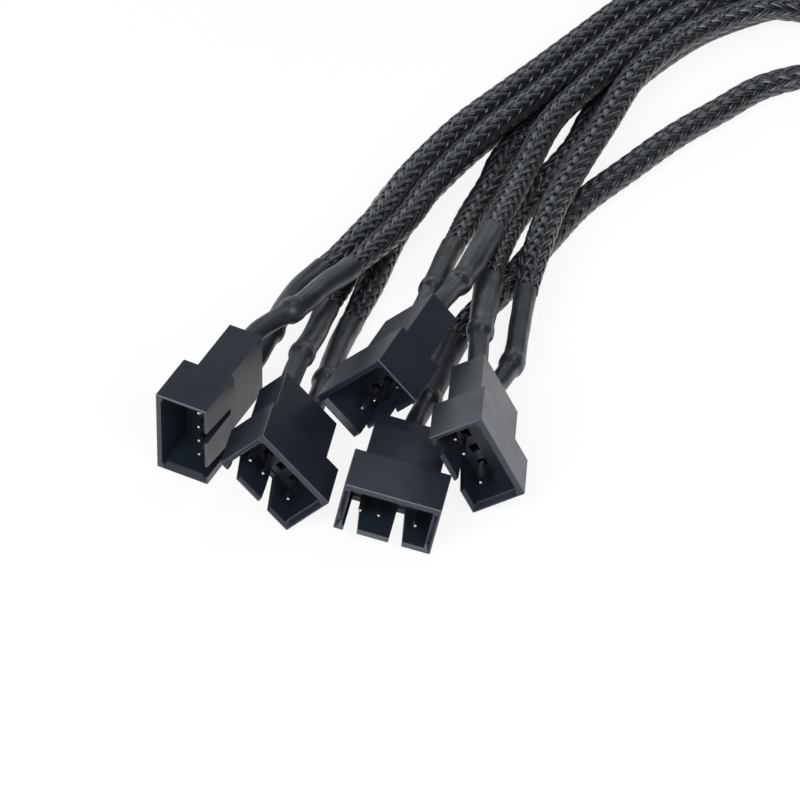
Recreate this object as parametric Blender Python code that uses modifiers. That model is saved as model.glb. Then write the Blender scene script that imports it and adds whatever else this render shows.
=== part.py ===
"""Fan splitter cable: five pin housings on short braided links, and a feed lead with a socket housing.

Units are metres, +Z is up, and the object lies on the plane z = 0. Each housing has its own frame:
z points out of its mouth, x runs along the row of contacts, and the two key slots are in its -y wall.
"""
import math

import bmesh
import bpy
from mathutils import Matrix, Vector

# Contacts
CONTACT_COUNT = 4
CONTACT_PITCH = 0.00254
CONTACT_ROW_Y = -0.0015
PIN_WIDTH = 0.00064
PIN_TIP_DEPTH = 0.0021
PIN_TIP_LENGTH = 0.0006
CONTACT_GAP = 0.0003
CRIMP_LENGTH = 0.0022
CRIMP_WAIST = 0.0010

# Pin housing
COLLAR_WIDTH = 0.0134
COLLAR_THICKNESS = 0.0078
COLLAR_LENGTH = 0.0080
HOUSING_LENGTH = 0.0185
BODY_WIDTH = 0.0104
BODY_TOP_STEP = 0.0014
BODY_UNDER_STEP = 0.00135
END_WALL = 0.0010
FACE_WALL = 0.0008
CAVITY_DEPTH = 0.0070
LEAD_IN = 0.0005
TONGUE_TAPER_LENGTH = 0.0030
TONGUE_TAPER = 0.00018
EDGE_BEVEL = 0.00012
CHANNEL_WIDTH = 0.0019
CHANNEL_HEIGHT = 0.0027
CHANNEL_MIDDLE_Y = -0.0008
PIN_HOLE_WIDTH = 0.0012
WINDOW_WIDTH = 0.0012
WINDOW_LENGTH = 0.0020

# Key slots in the collar, from the row's middle to each edge; each narrows on its +x side towards its end
WIDE_SLOT = (-0.00533, -0.00344)
SMALL_SLOT = (0.00090, 0.00275)
SLOT_LENGTH = 0.0068
SLOT_TAPER = 0.0008

# Socket housing
MATING_GAP = 0.00025
SOCKET_LENGTH = 0.0140
KEY_RIB_LENGTH = 0.0080
SOCKET_CONTACT_DEPTH = 0.0008

# Leads, heat-shrink and coil
LEAD_DIAMETER = 0.0035
PIECE_GAP = 0.0003
SHRINK_LENGTH = 0.0255
SHRINK_BULGE_START = 0.0092
SHRINK_BULGE_LENGTH = 0.0018
SHRINK_STEP = 0.0012
SHRINK_NECK_DIAMETER = 0.0028
SHRINK_BULGE_DIAMETER = 0.0037
SHRINK_MOUTH_DIAMETER = 0.0034
SHRINK_MOUTH_PARTS = 3
STRAND_SIDE = 0.0025
STRAND_LIFT = -0.00005
COURSE_STEP = 0.0005
POINT_SPACING = 2.0
POINT_TURN = 22.0
COIL_MIDDLE = (0.0, 0.1465)
COIL_RADIUS = 0.0190
COIL_TURNS = 2.5
COIL_RISE = 0.0038
COIL_BASE = 0.00285
TIE_WIDTH = 0.0030
TIE_THICKNESS = 0.0006
TIE_ANGLE = 160.0

# The middle of the five pin housings and their heat-shrinks, as the places and routes below count it
GROUP_MIDDLE = (-0.0068, 0.0190)

# Each pin housing: middle of its mouth, turn, tilt and roll in degrees, and its empty places
HOUSINGS = {
    "a": {"mouth": (-0.0295, 0.0031), "turn": (-27, -4, -87), "empty": ()},
    "b": {"mouth": (-0.0167, -0.0077), "turn": (-9, 4, 48), "empty": (3,)},
    "c": {"mouth": (-0.0046, 0.0085), "turn": (-24, -2, -45), "empty": (3,), "lift": 0.0022},
    "d": {"mouth": (-0.0017, -0.0120), "turn": (-10, 1, 12), "empty": (3,)},
    "e": {"mouth": (0.0103, -0.0043), "turn": (-4, 4, 63), "empty": (3,)},
}
SOCKET_PLACE = {"mouth": (0.0740, 0.1670), "turn": (90, 0, 180)}

# Each link: the two strands that it joins, and the route between them
LINKS = {
    "b_a": {"start": ("b", 1), "end": ("a", -1), "route": (
        (-0.0097, 0.0229, 0.0035), (-0.0084, 0.0299, 0.0025), (-0.0063, 0.0373, 0.0020),
        (-0.0038, 0.0458, 0.0020), (-0.0010, 0.0558, 0.0020), (0.0025, 0.0645, 0.0020),
        (0.0064, 0.0714, 0.0020), (0.0109, 0.0784, 0.0020), (0.0164, 0.0853, 0.0020),
        (0.0222, 0.0924, 0.0020), (0.0279, 0.0995, 0.0020), (0.0343, 0.1079, 0.0020),
        (0.0385, 0.1130, 0.0020), (0.0425, 0.1188, 0.0020), (0.0447, 0.1250, 0.0020),
        (0.0453, 0.1320, 0.0020), (0.0450, 0.1415, 0.0020), (0.0439, 0.1458, 0.0020),
        (0.0408, 0.1490, 0.0020), (0.0365, 0.1503, 0.0020), (0.0322, 0.1493, 0.0020),
        (0.0289, 0.1464, 0.0020), (0.0274, 0.1422, 0.0020), (0.0282, 0.1378, 0.0020),
        (0.0334, 0.1320, 0.0020), (0.0376, 0.1272, 0.0022), (0.0395, 0.1226, 0.0037),
        (0.0390, 0.1178, 0.0052), (0.0366, 0.1134, 0.0054), (0.0329, 0.1091, 0.0054),
        (0.0264, 0.1008, 0.0054), (0.0207, 0.0936, 0.0054), (0.0149, 0.0865, 0.0054),
        (0.0094, 0.0796, 0.0054), (0.0048, 0.0724, 0.0054), (0.0009, 0.0654, 0.0054),
        (-0.0027, 0.0565, 0.0058), (-0.0085, 0.0458, 0.0064), (-0.0143, 0.0387, 0.0055),
        (-0.0169, 0.0322, 0.0055),
    )},
    "a_c": {"start": ("c", -1), "end": ("a", 1), "route": (
        (0.0051, 0.0384, 0.0075), (0.0068, 0.0477, 0.0050), (0.0085, 0.0547, 0.0032),
        (0.0107, 0.0625, 0.0020), (0.0133, 0.0694, 0.0020), (0.0150, 0.0753, 0.0020),
        (0.0194, 0.0829, 0.0020), (0.0251, 0.0899, 0.0020), (0.0308, 0.0970, 0.0020),
        (0.0371, 0.1053, 0.0020), (0.0430, 0.1122, 0.0020), (0.0490, 0.1195, 0.0020),
        (0.0550, 0.1256, 0.0020), (0.0610, 0.1310, 0.0020), (0.0658, 0.1371, 0.0020),
        (0.0670, 0.1412, 0.0020), (0.0661, 0.1454, 0.0020), (0.0633, 0.1487, 0.0020),
        (0.0593, 0.1502, 0.0020), (0.0551, 0.1497, 0.0020), (0.0516, 0.1473, 0.0020),
        (0.0496, 0.1435, 0.0020), (0.0497, 0.1392, 0.0020), (0.0493, 0.1325, 0.0020),
        (0.0487, 0.1260, 0.0032), (0.0458, 0.1187, 0.0054), (0.0412, 0.1124, 0.0054),
        (0.0357, 0.1066, 0.0054), (0.0293, 0.0982, 0.0054), (0.0237, 0.0911, 0.0054),
        (0.0179, 0.0841, 0.0054), (0.0125, 0.0772, 0.0054), (0.0080, 0.0703, 0.0054),
        (0.0043, 0.0636, 0.0054), (0.0009, 0.0551, 0.0059), (-0.0040, 0.0461, 0.0070),
        (-0.0077, 0.0389, 0.0085), (-0.0105, 0.0345, 0.0095), (-0.0134, 0.0290, 0.0105),
    )},
    "c_e": {"start": ("e", -1), "end": ("c", 1), "route": (
        (0.0110, 0.0237, 0.0090), (0.0117, 0.0302, 0.0084), (0.0124, 0.0387, 0.0064),
        (0.0141, 0.0507, 0.0040), (0.0170, 0.0613, 0.0021), (0.0217, 0.0707, 0.0020),
        (0.0260, 0.0788, 0.0020), (0.0288, 0.0868, 0.0020), (0.0337, 0.0945, 0.0020),
        (0.0400, 0.1027, 0.0020), (0.0460, 0.1088, 0.0020), (0.0530, 0.1134, 0.0020),
        (0.0600, 0.1166, 0.0020), (0.0680, 0.1184, 0.0020), (0.0785, 0.1198, 0.0020),
        (0.0827, 0.1218, 0.0020), (0.0853, 0.1255, 0.0020), (0.0857, 0.1300, 0.0020),
        (0.0837, 0.1342, 0.0020), (0.0800, 0.1368, 0.0020), (0.0755, 0.1372, 0.0020),
        (0.0713, 0.1352, 0.0020), (0.0687, 0.1315, 0.0020), (0.0672, 0.1272, 0.0020),
        (0.0618, 0.1222, 0.0022), (0.0547, 0.1184, 0.0038), (0.0488, 0.1136, 0.0054),
        (0.0435, 0.1088, 0.0054), (0.0386, 0.1040, 0.0054), (0.0322, 0.0957, 0.0054),
        (0.0271, 0.0883, 0.0054), (0.0223, 0.0805, 0.0054), (0.0174, 0.0656, 0.0056),
        (0.0140, 0.0528, 0.0078), (0.0113, 0.0425, 0.0097), (0.0091, 0.0362, 0.0100),
    )},
    "e_d": {"start": ("e", 1), "end": ("d", 0), "route": (
        (0.0156, 0.0238, 0.0042), (0.0166, 0.0307, 0.0045), (0.0177, 0.0389, 0.0050),
        (0.0194, 0.0475, 0.0058), (0.0218, 0.0576, 0.0059), (0.0259, 0.0691, 0.0058),
        (0.0298, 0.0790, 0.0056), (0.0354, 0.0930, 0.0054), (0.0416, 0.1013, 0.0054),
        (0.0480, 0.1065, 0.0054), (0.0550, 0.1104, 0.0052), (0.0620, 0.1126, 0.0032),
        (0.0705, 0.1126, 0.0020), (0.0744, 0.1117, 0.0020), (0.0775, 0.1091, 0.0020),
        (0.0791, 0.1054, 0.0020), (0.0790, 0.1014, 0.0020), (0.0770, 0.0979, 0.0020),
        (0.0737, 0.0956, 0.0020), (0.0697, 0.0950, 0.0020), (0.0630, 0.0972, 0.0020),
        (0.0546, 0.0943, 0.0020), (0.0476, 0.0880, 0.0020), (0.0406, 0.0813, 0.0020),
        (0.0334, 0.0729, 0.0020), (0.0262, 0.0642, 0.0020), (0.0211, 0.0554, 0.0020),
        (0.0169, 0.0477, 0.0020), (0.0132, 0.0413, 0.0020), (0.0096, 0.0359, 0.0020),
        (0.0065, 0.0280, 0.0022), (0.0038, 0.0161, 0.0035),
    )},
}

# The feed: from pin housing b to its coil, and from the coil to the socket housing
FEED_STRAND = ("b", -1)
FEED_ROUTE = (
    (-0.0136, 0.0202, 0.0080), (-0.0119, 0.0272, 0.0063), (-0.0105, 0.0348, 0.0046),
    (-0.0084, 0.0450, 0.0020), (-0.0045, 0.0573, 0.0020), (-0.0009, 0.0663, 0.0020),
    (0.0032, 0.0735, 0.0020), (0.0078, 0.0807, 0.0020), (0.0134, 0.0877, 0.0020),
    (0.0192, 0.0948, 0.0020), (0.0250, 0.1020, 0.0020), (0.0314, 0.1104, 0.0020),
    (0.0342, 0.1146, 0.0020), (0.0353, 0.1192, 0.0020), (0.0335, 0.1240, 0.0020),
    (0.0290, 0.1270, 0.0020), (0.0220, 0.1275, 0.0020), (0.0140, 0.1275, 0.0023),
    (0.0070, 0.1275, 0.0026),
)
FEED_TAIL = (
    (0.0070, 0.1658, 0.0123), (0.0140, 0.1663, 0.0106), (0.0210, 0.1668, 0.0074),
    (0.0280, 0.1670, 0.0044), (0.0350, 0.1670, 0.0025), (0.0420, 0.1670, 0.0020),
    (0.0500, 0.1670, 0.0022),
)


def start_scene():
    """Empty the scene and make the collections for the object and for the cutters."""
    for old in list(bpy.data.objects):
        bpy.data.objects.remove(old, do_unlink=True)
    collections = {}
    for name in ("fan_splitter_cable", "cutters"):
        collections[name] = bpy.data.collections.new(name)
        bpy.context.scene.collection.children.link(collections[name])
    return collections["fan_splitter_cable"], collections["cutters"]


def material(name, colour, roughness, metallic=0.0):
    made = bpy.data.materials.new(name)
    made.use_nodes = True
    shader = made.node_tree.nodes["Principled BSDF"]
    shader.inputs["Base Color"].default_value = (*colour, 1.0)
    shader.inputs["Roughness"].default_value = roughness
    shader.inputs["Metallic"].default_value = metallic
    made.diffuse_color = (*colour, 1.0)
    return made


def add_block(shape, low, high):
    """Add a box between two corners to a bmesh and return its vertices."""
    made = bmesh.ops.create_cube(shape, size=1.0)["verts"]
    low = Vector(low)
    high = Vector(high)
    bmesh.ops.scale(shape, vec=high - low, verts=made)
    bmesh.ops.translate(shape, vec=(low + high) / 2, verts=made)
    return made


def to_object(shape, name, collection):
    mesh = bpy.data.meshes.new(name)
    shape.to_mesh(mesh)
    shape.free()
    made = bpy.data.objects.new(name, mesh)
    collection.objects.link(made)
    return made


def hidden_shape(shape, name, collection):
    made = to_object(shape, name, collection)
    made.hide_render = True
    made.display_type = "WIRE"
    return made


def cutter(name, blocks, collection):
    """One hidden object that holds the boxes of one kind of cut."""
    shape = bmesh.new()
    for low, high in blocks:
        add_block(shape, low, high)
    return hidden_shape(shape, name, collection)


def add_boolean(target, other, operation):
    modifier = target.modifiers.new(other.name, "BOOLEAN")
    modifier.operation = operation
    modifier.solver = "EXACT"
    modifier.object = other


def evaluated_mesh(made, name):
    """The mesh of an object with its modifiers applied; the object itself is removed."""
    bpy.context.view_layer.update()
    graph = bpy.context.evaluated_depsgraph_get()
    mesh = bpy.data.meshes.new_from_object(made.evaluated_get(graph))
    mesh.name = name
    bpy.data.objects.remove(made, do_unlink=True)
    return mesh


def contact_x(place):
    """Distance of a contact, counted from 1, from the middle of its row."""
    return (place - (CONTACT_COUNT + 1) / 2) * CONTACT_PITCH


def body_limits():
    """The lowest and highest y of the pin housing's narrow body."""
    return -COLLAR_THICKNESS / 2 + BODY_UNDER_STEP, COLLAR_THICKNESS / 2 - BODY_TOP_STEP


def channel_blocks(low_z, high_z):
    """The channels that hold the contacts."""
    blocks = []
    for place in range(1, CONTACT_COUNT + 1):
        x = contact_x(place)
        low = (x - CHANNEL_WIDTH / 2, CHANNEL_MIDDLE_Y - CHANNEL_HEIGHT / 2, low_z)
        high = (x + CHANNEL_WIDTH / 2, CHANNEL_MIDDLE_Y + CHANNEL_HEIGHT / 2, high_z)
        blocks.append((low, high))
    return blocks


def hole_blocks(width, low_z, high_z):
    """Square holes on the row of contacts."""
    blocks = []
    for place in range(1, CONTACT_COUNT + 1):
        x = contact_x(place)
        low = (x - width / 2, CONTACT_ROW_Y - width / 2, low_z)
        high = (x + width / 2, CONTACT_ROW_Y + width / 2, high_z)
        blocks.append((low, high))
    return blocks


def window_blocks(outside_y, rear_z):
    """Small windows from the -y side into each channel, where the contacts' lances latch."""
    inside_y = CHANNEL_MIDDLE_Y - CHANNEL_HEIGHT / 2 + CHANNEL_HEIGHT / 8
    blocks = []
    for place in range(1, CONTACT_COUNT + 1):
        x = contact_x(place)
        low = (x - WINDOW_WIDTH / 2, outside_y - FACE_WALL, rear_z)
        high = (x + WINDOW_WIDTH / 2, inside_y, rear_z + WINDOW_LENGTH)
        blocks.append((low, high))
    return blocks


def slot_cutter(name, low, high, cutters):
    """A key slot, open at the mouth and narrower on its +x side at its end."""
    shape = bmesh.new()
    slope = SLOT_TAPER / SLOT_LENGTH
    for corner in add_block(shape, low, high):
        if corner.co.x > (low[0] + high[0]) / 2:
            corner.co.x += slope * corner.co.z
    return hidden_shape(shape, name, cutters)


def tongue_cutter(cavity_x, cavity_y, cutters):
    """A shallow wedge off the inside of the slotted wall, so that its tongues thin towards the mouth."""
    shape = bmesh.new()
    low = (-cavity_x, -cavity_y, -TONGUE_TAPER_LENGTH)
    high = (cavity_x, 0, END_WALL)
    slope = TONGUE_TAPER / TONGUE_TAPER_LENGTH
    for corner in add_block(shape, low, high):
        if corner.co.y < -cavity_y / 2:
            corner.co.y -= slope * (corner.co.z + TONGUE_TAPER_LENGTH)
    return hidden_shape(shape, "tongue_taper", cutters)


def pin_housing_mesh(cutters):
    """The pin housing: collar with cavity and key slots, and a narrower body with four contact channels."""
    half_width = COLLAR_WIDTH / 2
    half_thickness = COLLAR_THICKNESS / 2
    body_low, body_high = body_limits()
    overlap = COLLAR_LENGTH - CAVITY_DEPTH

    shape = bmesh.new()
    add_block(shape, (-half_width, -half_thickness, -COLLAR_LENGTH), (half_width, half_thickness, 0))
    bmesh.ops.bevel(shape, geom=shape.edges[:], offset=EDGE_BEVEL, segments=1, affect="EDGES")
    housing = to_object(shape, "pin_housing_collar", cutters)

    shape = bmesh.new()
    rear = -HOUSING_LENGTH
    front = -COLLAR_LENGTH + overlap / 2
    add_block(shape, (-BODY_WIDTH / 2, body_low, rear), (BODY_WIDTH / 2, body_high, front))
    bmesh.ops.bevel(shape, geom=shape.edges[:], offset=EDGE_BEVEL / 2, segments=1, affect="EDGES")
    add_boolean(housing, hidden_shape(shape, "pin_housing_body", cutters), "UNION")

    cavity_x = half_width - END_WALL
    cavity_y = half_thickness - FACE_WALL
    cavity = ((-cavity_x, -cavity_y, -CAVITY_DEPTH), (cavity_x, cavity_y, END_WALL))
    add_boolean(housing, cutter("cavity", [cavity], cutters), "DIFFERENCE")

    shape = bmesh.new()
    inner_z = -1.5 * LEAD_IN
    outer_z = LEAD_IN
    tucked = cavity_y - LEAD_IN / 2
    corners = add_block(shape, (-cavity_x, -cavity_y, inner_z), (cavity_x, tucked, outer_z))
    for corner in corners:
        reach = LEAD_IN + corner.co.z
        corner.co.x += math.copysign(reach, corner.co.x)
        if corner.co.y < 0:
            corner.co.y -= reach
    add_boolean(housing, hidden_shape(shape, "lead_in", cutters), "DIFFERENCE")

    add_boolean(housing, tongue_cutter(cavity_x, cavity_y, cutters), "DIFFERENCE")
    for name, (low_x, high_x) in (("wide_slot", WIDE_SLOT), ("small_slot", SMALL_SLOT)):
        low = (low_x, -half_thickness - FACE_WALL, -SLOT_LENGTH)
        high = (high_x, -cavity_y + EDGE_BEVEL / 2, END_WALL)
        add_boolean(housing, slot_cutter(name, low, high, cutters), "DIFFERENCE")

    channels = channel_blocks(-HOUSING_LENGTH - END_WALL, -COLLAR_LENGTH)
    add_boolean(housing, cutter("channels", channels, cutters), "DIFFERENCE")
    holes = hole_blocks(PIN_HOLE_WIDTH, -COLLAR_LENGTH - overlap / 4, -CAVITY_DEPTH + overlap / 4)
    add_boolean(housing, cutter("pin_holes", holes, cutters), "DIFFERENCE")
    return evaluated_mesh(housing, "pin_housing")


def socket_housing_mesh(cutters):
    """The socket housing, which slides into a pin housing's cavity with its ribs in the key slots."""
    half_width = COLLAR_WIDTH / 2 - END_WALL - MATING_GAP
    half_thickness = COLLAR_THICKNESS / 2 - FACE_WALL - MATING_GAP
    shape = bmesh.new()
    add_block(shape, (-half_width, -half_thickness, -SOCKET_LENGTH), (half_width, half_thickness, 0))
    bmesh.ops.bevel(shape, geom=shape.edges[:], offset=EDGE_BEVEL, segments=1, affect="EDGES")
    housing = to_object(shape, "socket_block", cutters)

    rib_blocks = []
    for low_x, high_x in (WIDE_SLOT, SMALL_SLOT):
        low = (MATING_GAP + SLOT_TAPER - high_x, -half_thickness - FACE_WALL, -KEY_RIB_LENGTH)
        high = (-MATING_GAP - low_x, -half_thickness + FACE_WALL, -LEAD_IN)
        rib_blocks.append((low, high))
    add_boolean(housing, cutter("key_ribs", rib_blocks, cutters), "UNION")

    channels = channel_blocks(-SOCKET_LENGTH - END_WALL, -SOCKET_CONTACT_DEPTH)
    add_boolean(housing, cutter("socket_channels", channels, cutters), "DIFFERENCE")
    holes = hole_blocks(PIN_HOLE_WIDTH, -SOCKET_CONTACT_DEPTH - EDGE_BEVEL, END_WALL)
    add_boolean(housing, cutter("socket_holes", holes, cutters), "DIFFERENCE")
    windows = window_blocks(-half_thickness, -KEY_RIB_LENGTH - CONTACT_GAP - WINDOW_LENGTH)
    add_boolean(housing, cutter("socket_windows", windows, cutters), "DIFFERENCE")
    return evaluated_mesh(housing, "socket_housing")


def extrude_to(shape, face, half_x, low_y, high_y, z):
    """Extrude a face that looks along z and set the new end's size; returns the new end."""
    made = bmesh.ops.extrude_discrete_faces(shape, faces=[face])["faces"][0]
    middle = made.calc_center_median()
    for corner in made.verts:
        corner.co.x = math.copysign(half_x, corner.co.x)
        corner.co.y = high_y if corner.co.y > middle.y else low_y
        corner.co.z = z
    return made


def contact_sizes():
    """Half width, lowest and highest y of the part of a contact that fills its channel."""
    half_x = CHANNEL_WIDTH / 2 - CONTACT_GAP
    low_y = CHANNEL_MIDDLE_Y - CHANNEL_HEIGHT / 2 + CONTACT_GAP
    high_y = CHANNEL_MIDDLE_Y + CHANNEL_HEIGHT / 2 - CONTACT_GAP
    return half_x, low_y, high_y


def add_crimp(shape, face, rear_z):
    """The waist behind the contact's box, and the crimp that ends just inside the channel's mouth."""
    half_x, low_y, high_y = contact_sizes()
    thin = half_x * 0.6
    waist_top = (low_y + high_y) / 2
    crimp_start = rear_z + CONTACT_GAP + CRIMP_LENGTH
    face = extrude_to(shape, face, thin, low_y, waist_top, crimp_start + CRIMP_WAIST)
    face = extrude_to(shape, face, thin, low_y, waist_top, crimp_start)
    face = extrude_to(shape, face, half_x, low_y, high_y, crimp_start)
    extrude_to(shape, face, half_x, low_y, high_y, rear_z + CONTACT_GAP)


def face_along(shape, direction):
    def reach(face):
        return face.normal.dot(direction) + direction.dot(face.calc_center_median())
    return max(shape.faces, key=reach)


def contact_block(shape, front_z, rear_z):
    half_x, low_y, high_y = contact_sizes()
    box_end = rear_z + CONTACT_GAP + CRIMP_LENGTH + 2 * CRIMP_WAIST
    add_block(shape, (-half_x, low_y, box_end), (half_x, high_y, front_z))


def pin_mesh():
    """A pin contact in its housing's frame: square pin with a tapered tip, box and crimp."""
    shape = bmesh.new()
    contact_block(shape, -COLLAR_LENGTH - CONTACT_GAP, -HOUSING_LENGTH)
    front = face_along(shape, Vector((0, 0, 1)))
    half = PIN_WIDTH / 2
    low = CONTACT_ROW_Y - half
    high = CONTACT_ROW_Y + half
    front = extrude_to(shape, front, half, low, high, -COLLAR_LENGTH - CONTACT_GAP)
    front = extrude_to(shape, front, half, low, high, -PIN_TIP_DEPTH - PIN_TIP_LENGTH)
    extrude_to(shape, front, half / 2, CONTACT_ROW_Y - half / 2, CONTACT_ROW_Y + half / 2, -PIN_TIP_DEPTH)
    add_crimp(shape, face_along(shape, Vector((0, 0, -1))), -HOUSING_LENGTH)
    return finished_mesh(shape, "pin")


def socket_contact_mesh():
    """A socket contact in the socket housing's frame: a box with an opening for the pin, and a crimp."""
    shape = bmesh.new()
    contact_block(shape, -SOCKET_CONTACT_DEPTH - CONTACT_GAP, -SOCKET_LENGTH)
    front = face_along(shape, Vector((0, 0, 1)))
    half = PIN_WIDTH / 2 + CONTACT_GAP / 3
    low = CONTACT_ROW_Y - half
    high = CONTACT_ROW_Y + half
    front = extrude_to(shape, front, half, low, high, -SOCKET_CONTACT_DEPTH - CONTACT_GAP)
    extrude_to(shape, front, half, low, high, -COLLAR_LENGTH)
    add_crimp(shape, face_along(shape, Vector((0, 0, -1))), -SOCKET_LENGTH)
    return finished_mesh(shape, "socket_contact")


def finished_mesh(shape, name):
    bmesh.ops.remove_doubles(shape, verts=shape.verts[:], dist=0.000001)
    bmesh.ops.recalc_face_normals(shape, faces=shape.faces[:])
    mesh = bpy.data.meshes.new(name)
    shape.to_mesh(mesh)
    shape.free()
    return mesh


def axes_of(turn):
    """Rotation of a housing from its turn about the vertical, its tilt up and its roll, in degrees."""
    yaw, tilt, roll = (math.radians(angle) for angle in turn)
    out = Vector((math.sin(yaw) * math.cos(tilt), -math.cos(yaw) * math.cos(tilt), math.sin(tilt)))
    up = out.cross(Vector((0, 0, 1)).cross(out)).normalized()
    side = up.cross(out)
    broad = up * math.cos(roll) + side * math.sin(roll)
    return Matrix((broad.cross(out), broad, out)).transposed()


def resting_frame(place, mesh):
    """World frame of a housing that lies on the surface, or is lifted off it by its neighbour."""
    axes = axes_of(place["turn"])
    lowest = min((axes @ corner.co).z for corner in mesh.vertices)
    x, y = place["mouth"]
    height = place.get("lift", 0.0) - lowest
    return Matrix.Translation((x, y, height)) @ axes.to_4x4()


def add_node(name, mesh, frame, finish, collection, layout):
    """One sub-part: an object with its own finish, placed by its location and rotation."""
    made = bpy.data.objects.new(name, mesh)
    made.location = frame.to_translation()
    made.rotation_euler = frame.to_euler()
    made.parent = layout
    collection.objects.link(made)
    if not mesh.materials:
        mesh.materials.append(finish)
    made.material_slots[0].link = "OBJECT"
    made.material_slots[0].material = finish
    return made


def strand_entry(frame, side, length):
    """The first two points of a strand, straight out of its housing's rear."""
    points = []
    for back in (0.0, 0.003):
        points.append(frame @ Vector((side * STRAND_SIDE, STRAND_LIFT, -length - back)))
    return points


def smooth_course(points):
    """A centripetal Catmull-Rom curve through the points, read at short equal steps of its own parameter."""
    points = [Vector(point) for point in points]
    points = [2 * points[0] - points[1]] + points + [2 * points[-1] - points[-2]]
    course = []
    for before, start, end, after in zip(points, points[1:], points[2:], points[3:]):
        t0 = 0.0
        t1 = t0 + math.sqrt((start - before).length)
        t2 = t1 + math.sqrt((end - start).length)
        t3 = t2 + math.sqrt((after - end).length)
        steps = max(2, round((end - start).length / COURSE_STEP))
        for step in range(steps):
            t = t1 + (t2 - t1) * step / steps
            a1 = before * ((t1 - t) / (t1 - t0)) + start * ((t - t0) / (t1 - t0))
            a2 = start * ((t2 - t) / (t2 - t1)) + end * ((t - t1) / (t2 - t1))
            a3 = end * ((t3 - t) / (t3 - t2)) + after * ((t - t2) / (t3 - t2))
            b1 = a1 * ((t2 - t) / (t2 - t0)) + a2 * ((t - t0) / (t2 - t0))
            b2 = a2 * ((t3 - t) / (t3 - t1)) + a3 * ((t - t1) / (t3 - t1))
            course.append(b1 * ((t2 - t) / (t2 - t1)) + b2 * ((t - t1) / (t2 - t1)))
    course.append(points[-2])
    return course


def distances(course):
    """Length along the course at each of its points."""
    along = [0.0]
    for start, end in zip(course, course[1:]):
        along.append(along[-1] + (end - start).length)
    return along


def stretch(course, start, end):
    """The part of a course between two lengths along it, with its exact ends."""
    along = distances(course)
    part = [point_at(course, along, start)]
    for point, length in zip(course, along):
        if start < length < end:
            part.append(point)
    part.append(point_at(course, along, end))
    return part


def point_at(course, along, length):
    for index in range(1, len(course)):
        if along[index] >= length:
            share = (length - along[index - 1]) / (along[index] - along[index - 1])
            return course[index - 1].lerp(course[index], share)
    return course[-1].copy()


def spaced(course):
    """Fewer points: one every two diameters, or sooner where the course bends."""
    kept = [course[0]]
    heading = course[1] - course[0]
    for here, after in zip(course[1:-1], course[2:]):
        bend = math.degrees(heading.angle(after - here))
        if (here - kept[-1]).length >= POINT_SPACING * LEAD_DIAMETER or bend >= POINT_TURN:
            kept.append(here)
            heading = after - here
    if (kept[-1] - course[-1]).length < LEAD_DIAMETER and len(kept) > 1:
        kept.pop()
    kept.append(course[-1])
    return kept


def add_tube(name, points, diameters, finish, collection, layout):
    """A round piece along points, with its diameter at each of them and both ends closed."""
    curve = bpy.data.curves.new(name, "CURVE")
    curve.dimensions = "3D"
    curve.bevel_depth = 0.5
    curve.bevel_resolution = 2
    curve.use_fill_caps = True
    line = curve.splines.new("POLY")
    line.points.add(len(points) - 1)
    for target, point, diameter in zip(line.points, points, diameters):
        target.co = (*point, 1.0)
        target.radius = diameter
    made = bpy.data.objects.new(name, curve)
    collection.objects.link(made)
    made.parent = layout
    curve.materials.append(finish)
    return made


def shrink_profile():
    """Distances from the housing's end of a heat-shrink, and its diameter at each of them."""
    neck_end = SHRINK_BULGE_START - SHRINK_STEP
    bulge_end = SHRINK_BULGE_START + SHRINK_BULGE_LENGTH
    plain_start = bulge_end + SHRINK_STEP
    profile = [
        (0.0, SHRINK_NECK_DIAMETER), (neck_end / 2, SHRINK_NECK_DIAMETER), (neck_end, SHRINK_NECK_DIAMETER),
        (SHRINK_BULGE_START, SHRINK_BULGE_DIAMETER), (bulge_end, SHRINK_BULGE_DIAMETER),
    ]
    for part in range(SHRINK_MOUTH_PARTS + 1):
        share = part / SHRINK_MOUTH_PARTS
        profile.append((plain_start + share * (SHRINK_LENGTH - plain_start), SHRINK_MOUTH_DIAMETER))
    return profile


def add_shrink(name, course, finish, collection, layout):
    """Heat-shrink over the end of a lead: a neck, a bulge where the wires' ends sit, and a mouth."""
    profile = shrink_profile()
    part = stretch(course, PIECE_GAP, PIECE_GAP + SHRINK_LENGTH)
    along = distances(part)
    points = [point_at(part, along, min(distance, along[-1])) for distance, diameter in profile]
    add_tube(name, points, [diameter for distance, diameter in profile], finish, collection, layout)


def add_lead(name, course, finish, collection, layout):
    points = spaced(course)
    add_tube(name, points, [LEAD_DIAMETER] * len(points), finish, collection, layout)


def coil_size():
    """Inner and outer radius, base and top of the coil."""
    reach = LEAD_DIAMETER / 2
    top = COIL_BASE + COIL_TURNS * COIL_RISE + reach
    return COIL_RADIUS - reach, COIL_RADIUS + reach, COIL_BASE - reach, top


def add_coil(finish, collection, layout):
    """The feed's coil: a ring of the outer shape of its turns, from a profile turned about the vertical."""
    inner, outer, base, top = coil_size()
    corner = LEAD_DIAMETER / 4
    outline = (
        (outer, top - corner), (outer, base + corner), (outer - corner, base), (inner + corner, base),
        (inner, base + corner), (inner, top - corner), (inner + corner, top), (outer - corner, top),
    )
    shape = bmesh.new()
    corners = [shape.verts.new((x, 0, z)) for x, z in outline]
    for start, end in zip(corners, corners[1:] + corners[:1]):
        shape.edges.new((start, end))
    coil = to_object(shape, "feed_coil", collection)
    coil.location = (*COIL_MIDDLE, 0)
    coil.parent = layout
    coil.data.materials.append(finish)
    turned = coil.modifiers.new("turned", "SCREW")
    turned.steps = 32
    turned.render_steps = 32
    turned.use_merge_vertices = True
    turned.merge_threshold = 0.00001
    turned.use_smooth_shade = True


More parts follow.
